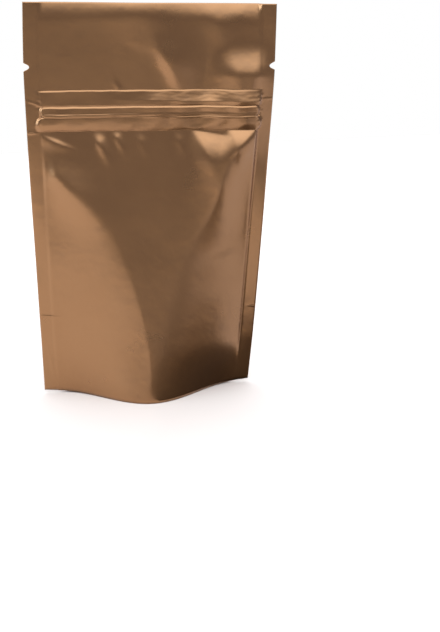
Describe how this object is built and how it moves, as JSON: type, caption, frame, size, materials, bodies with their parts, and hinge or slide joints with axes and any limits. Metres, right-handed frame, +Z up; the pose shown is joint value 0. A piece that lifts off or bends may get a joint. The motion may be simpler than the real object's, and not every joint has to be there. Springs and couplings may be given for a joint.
{
  "type": "stand-up pouch",
  "caption": "Shut stand-up pouch of bronze metallised film with welded sides, a press-to-close zipper band, tear notches and a folded bottom pleat that it stands on.",
  "frame": {"origin": "on the floor under the middle of the pouch's box", "axes": "+Z up to the mouth, -Y out of the front panel, +X to the right seen from the front"},
  "size_m": [0.102, 0.038, 0.1662],
  "materials": {
    "film": "satin bronze metallised plastic film"
  },
  "bodies": {
    "root": {"pouch": "film"}
  },
  "joints": []
}
